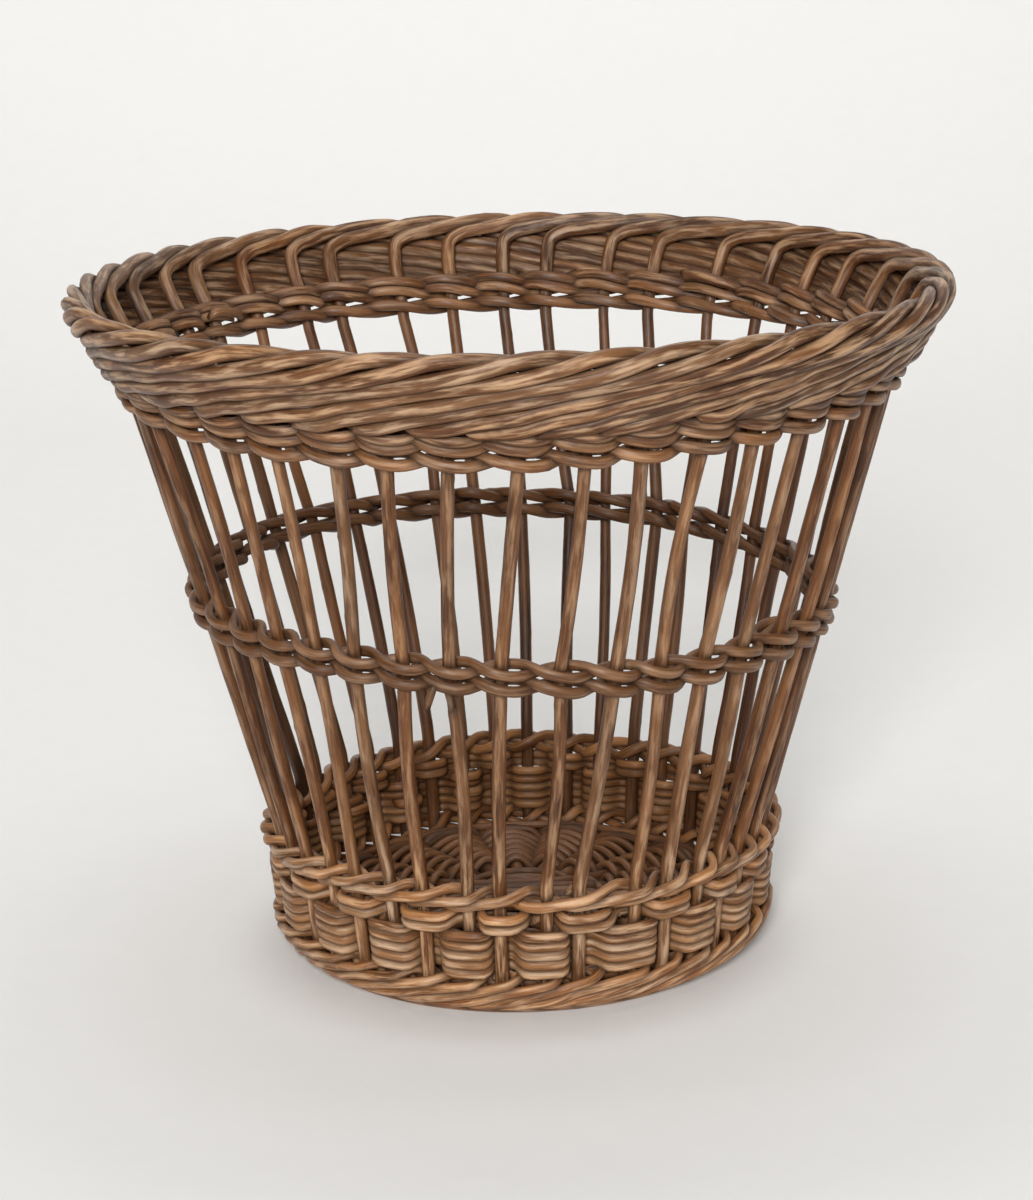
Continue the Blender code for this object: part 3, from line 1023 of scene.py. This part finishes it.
def neck_band():
    """Twined rows under the border."""
    middle = band_middle("neck_band_weaver")

    def wave(place):
        return neck_rise(place) + NECK_WANDER * ring_wave(chance(ROW_DRAWS, NECK_WANDER_DRAWS), place)

    rods = []
    for row, height in enumerate(NECK_ROWS):
        number = NECK_NUMBERS + PAIR_NUMBERS * row
        for rod in twined_pair(middle + height, number, wave, NECK_SWING):
            rods += rod
    return [Piece("neck_band_rods", rods, "neck_weave", "neck_band_weaver")]


def base():
    """Two layers of sticks, and the rods woven between them."""
    pieces = []
    for name, layer in (("lower", -1), ("upper", 1)):
        for number in range(STICKS_EACH_WAY):
            node = f"base_stick_{name}_{number + 1}"
            pieces.append(Piece(f"{node}_rod", [stick_rod(layer, number)], "base", node))
    pieces.append(Piece("base_rods", base_rods(), "base", "base_weaver"))
    return pieces


def add_values(mesh, values):
    """Gives each point of a mesh the values that its finish reads."""
    for name, blocks in values.items():
        kind, field = ("FLOAT_VECTOR", "vector") if name == "rod_place" else ("FLOAT", "value")
        stored = mesh.attributes.new(name, kind, "POINT")
        stored.data.foreach_set(field, np.concatenate(blocks).ravel().astype(np.float32))


def piece_object(piece, search, material):
    """Makes one object of a piece's rods."""
    vertices, faces = [], []
    values = {name: [] for name in ("rod_place", "tint", "warmth", "knot", "crevice", "wear_and_highlight")}
    for rod in piece.rods:
        points, facing, read = rod_surface(rod)
        # Closeness to other rods, which darkens the colour: dirt, and painted shade in the crevices
        read["crevice"] = crevices(rod, points, search)
        # Outward faces, which are paled: wear, and a painted highlight
        read["wear_and_highlight"] = wear_and_highlight(points, facing)
        first = sum(len(block) for block in vertices)
        rings = len(points)
        index = first + np.arange(rings * RING_SIDES).reshape(rings, RING_SIDES)
        after = np.roll(index, -1, axis=1)
        quads = np.stack((index[:-1], after[:-1], after[1:], index[1:]), axis=-1).reshape(-1, 4)
        faces += quads.tolist()
        faces += [index[0][::-1].tolist(), index[-1].tolist()]
        vertices.append(points.reshape(-1, 3))
        for name, block in read.items():
            values[name].append(block.ravel())
    mesh = bpy.data.meshes.new(piece.name)
    mesh.from_pydata(np.concatenate(vertices).tolist(), [], faces)
    mesh.shade_smooth()
    add_values(mesh, values)
    mesh.materials.append(material)
    made = bpy.data.objects.new(piece.name, mesh)
    bpy.context.scene.collection.objects.link(made)
    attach(made, "root")
    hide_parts(piece.node)


# Finishes


def add(tree, kind, inputs=None, **settings):
    """A new node. An input is a value or the output that feeds it."""
    made = tree.nodes.new(kind)
    for name, value in settings.items():
        setattr(made, name, value)
    for name, value in (inputs or {}).items():
        if isinstance(value, bpy.types.NodeSocket):
            tree.links.new(value, made.inputs[name])
        else:
            made.inputs[name].default_value = value
    return made


def attribute(tree, name):
    made = add(tree, "ShaderNodeAttribute", attribute_name=name)
    return made.outputs["Vector" if name == "rod_place" else "Fac"]


def math_node(tree, operation, *values):
    made = add(tree, "ShaderNodeMath", dict(enumerate(values)), operation=operation)
    return made.outputs[0]


def scaled(tree, vector, scale):
    made = add(tree, "ShaderNodeVectorMath", {0: vector, 1: scale}, operation="MULTIPLY")
    return made.outputs[0]


def noise(tree, place, lengthwise, crosswise, detail, roughness):
    """Noise with its own scale along the rod and across it."""
    stretched = scaled(tree, place, (lengthwise, crosswise, crosswise))
    made = add(
        tree,
        "ShaderNodeTexNoise",
        {"Vector": stretched, "Scale": 1.0, "Detail": detail, "Roughness": roughness},
    )
    return made.outputs["Fac"]


def spread(tree, value, low, high, to_low=0.0, to_high=1.0):
    """A range of a value, spread smoothly over another range."""
    made = add(
        tree,
        "ShaderNodeMapRange",
        {"Value": value, "From Min": low, "From Max": high, "To Min": to_low, "To Max": to_high},
        interpolation_type="SMOOTHSTEP",
    )
    return made.outputs["Result"]


def mixed(tree, factor, first, second):
    """A mix of two colours, each a value or the output that feeds it."""
    made = add(tree, "ShaderNodeMix", {"Factor": factor}, data_type="RGBA")
    for socket, value in zip(MIX_COLOURS, (first, second)):
        if isinstance(value, bpy.types.NodeSocket):
            tree.links.new(value, made.inputs[socket])
        else:
            made.inputs[socket].default_value = (*value, 1)
    return made.outputs[MIX_RESULT]


def ramp(tree, value, low, middle, high):
    """Three colours, one for values of 0, one for middling ones and one for values of 1."""
    made = add(tree, "ShaderNodeValToRGB", {"Fac": value})
    stops = made.color_ramp.elements
    stops[0].position, stops[0].color = 0.0, (*low, 1)
    stops[1].position, stops[1].color = 1.0, (*high, 1)
    stops.new(MIDDLING_TONE).color = (*middle, 1)
    return made.outputs["Color"]


def willow(name, colours):
    """Old buff willow: streaked along the grain, rubbed pale outside and dirty in the crevices.

    The pale rubbed colour is partly a painted highlight, and the crevices' dark colour is partly painted
    shade.
    """
    dark, middling, pale, pale_wear_and_highlight = colours
    material = bpy.data.materials.new(f"willow_{name}")
    material.use_nodes = True
    tree = material.node_tree
    shader = tree.nodes["Principled BSDF"]
    place = attribute(tree, "rod_place")
    noises = {kind: noise(tree, place, *shape) for kind, shape in WILLOW_NOISES.items()}

    tone = math_node(tree, "MULTIPLY_ADD", attribute(tree, "tint"), TINT_SHARE, TINT_LOW)
    for kind, low, high, change in TONE_CHANGES:
        tone = math_node(tree, "ADD", tone, spread(tree, noises[kind], low, high, -change, change))
    colour = ramp(tree, tone, dark, middling, pale)
    # Pale rubbed colour on outward faces and the rim's top: partly wear, partly a painted highlight
    blotches = spread(tree, noises["blotches"], *WEAR_AND_HIGHLIGHT_BLOTCHES)
    wear_and_highlight_mix = math_node(tree, "MULTIPLY", attribute(tree, "wear_and_highlight"), blotches)
    wear_and_highlight_mix = math_node(tree, "MULTIPLY", wear_and_highlight_mix, WEAR_AND_HIGHLIGHT_STRENGTH)
    colour = mixed(tree, wear_and_highlight_mix, colour, pale_wear_and_highlight)
    colour = mixed(tree, attribute(tree, "warmth"), colour, scaled(tree, colour, WARMEST))
    scar = math_node(tree, "MULTIPLY", attribute(tree, "knot"), SCAR_STRENGTH)
    colour = mixed(tree, scar, colour, dark)
    # A dark brown where rods touch: partly dirt, partly painted shade in the crevices
    crevice = attribute(tree, "crevice")
    dirt_and_shade = math_node(tree, "MULTIPLY", crevice, spread(tree, noises["patches"], *DIRT_AND_SHADE_PATCHES))
    colour = mixed(tree, dirt_and_shade, colour, DIRT_AND_SHADE)
    tree.links.new(colour, shader.inputs["Base Color"])

    roughness = spread(tree, noises["streaks"], *ROUGH_STREAKS)
    roughness = math_node(tree, "MULTIPLY_ADD", crevice, CREVICE_ROUGHNESS, roughness)
    tree.links.new(roughness, shader.inputs["Roughness"])
    height = math_node(tree, "MULTIPLY_ADD", noises["fibres"], FIBRE_HEIGHT_SHARE, noises["streaks"])
    bump = add(
        tree,
        "ShaderNodeBump",
        {"Height": height, "Strength": BUMP_STRENGTH, "Distance": BUMP_DISTANCE},
    )
    tree.links.new(bump.outputs["Normal"], shader.inputs["Normal"])
    shader.inputs["Coat Weight"].default_value = COAT_WEIGHT
    shader.inputs["Coat Roughness"].default_value = COAT_ROUGHNESS
    shader.inputs["Specular IOR Level"].default_value = SPECULAR_LEVEL
    return material


# The studio


def pale_paper():
    """The backdrop's paper, faintly mottled."""
    material = bpy.data.materials.new("pale_paper")
    material.use_nodes = True
    tree = material.node_tree
    shader = tree.nodes["Principled BSDF"]
    place = add(tree, "ShaderNodeTexCoord").outputs["Object"]
    shaded = tuple(share * PAPER_SHADE for share in PAPER_COLOUR)
    colour = mixed(tree, noise(tree, place, *PAPER_NOISE), shaded, PAPER_COLOUR)
    tree.links.new(colour, shader.inputs["Base Color"])
    shader.inputs["Roughness"].default_value = PAPER_ROUGHNESS
    return material


def make_backdrop():
    """A pale floor that sweeps up behind the basket."""
    profile = filleted(PAPER_CORNERS, PAPER_FILLETS)
    vertices = [(side * PAPER_HALF_WIDTH, y, z) for y, z in profile for side in (-1, 1)]
    faces = [(2 * i, 2 * i + 1, 2 * i + 3, 2 * i + 2) for i in range(len(profile) - 1)]
    mesh = bpy.data.meshes.new("backdrop")
    mesh.from_pydata(vertices, [], faces)
    mesh.shade_smooth()
    mesh.materials.append(pale_paper())
    backdrop = bpy.data.objects.new("backdrop", mesh)
    bpy.context.scene.collection.objects.link(backdrop)


def aim(thing, place, target):
    """Puts a thing at a place, facing a target."""
    ahead = unit(np.array(target, float) - place)
    side = unit(np.cross(ahead, (0, 0, 1)))
    turn = Matrix(np.column_stack((side, np.cross(side, ahead), -ahead)).tolist())
    thing.matrix_world = Matrix.Translation(place) @ turn.to_4x4()


def make_lamp(name, place, target, width, watts):
    """A round area lamp that the camera doesn't see."""
    light = bpy.data.lights.new(name, "AREA")
    light.shape = "DISK"
    light.size = width
    light.energy = watts
    lamp = bpy.data.objects.new(name, light)
    lamp.visible_camera = False
    bpy.context.scene.collection.objects.link(lamp)
    aim(lamp, place, target)


def make_world():
    """Even light from all round. The camera sees it paler than it shines."""
    world = bpy.data.worlds.new("studio")
    world.use_nodes = True
    bpy.context.scene.world = world
    tree = world.node_tree
    background = tree.nodes["Background"]
    background.inputs["Color"].default_value = (*WORLD_COLOUR, 1)
    seen = add(tree, "ShaderNodeLightPath").outputs["Is Camera Ray"]
    strength = math_node(tree, "MULTIPLY_ADD", seen, WORLD_SEEN - WORLD_LIGHT, WORLD_LIGHT)
    tree.links.new(strength, background.inputs["Strength"])


def make_camera():
    """A camera that sees the basket as it is photographed."""
    lens = bpy.data.cameras.new("camera")
    lens.lens = CAMERA_LENS
    camera = bpy.data.objects.new("camera", lens)
    bpy.context.scene.collection.objects.link(camera)
    down = Matrix.Rotation(math.pi / 2 - CAMERA_DOWN, 4, "X")
    camera.matrix_world = Matrix.Translation(CAMERA_PLACE) @ down @ Matrix.Rotation(CAMERA_ROLL, 4, "Z")
    bpy.context.scene.camera = camera


def main():
    pieces = stakes() + foot_band() + waist_band() + neck_band() + base()
    search = all_rods_tree(pieces)
    finishes = {slot: willow(slot, colours) for slot, colours in FINISHES.items()}
    for piece in pieces:
        piece_object(piece, search, finishes[piece.slot])
    make_backdrop()
    make_world()
    for lamp in LAMPS:
        make_lamp(*lamp)
    make_camera()
    bpy.context.scene.view_settings.view_transform = "Standard"


main()
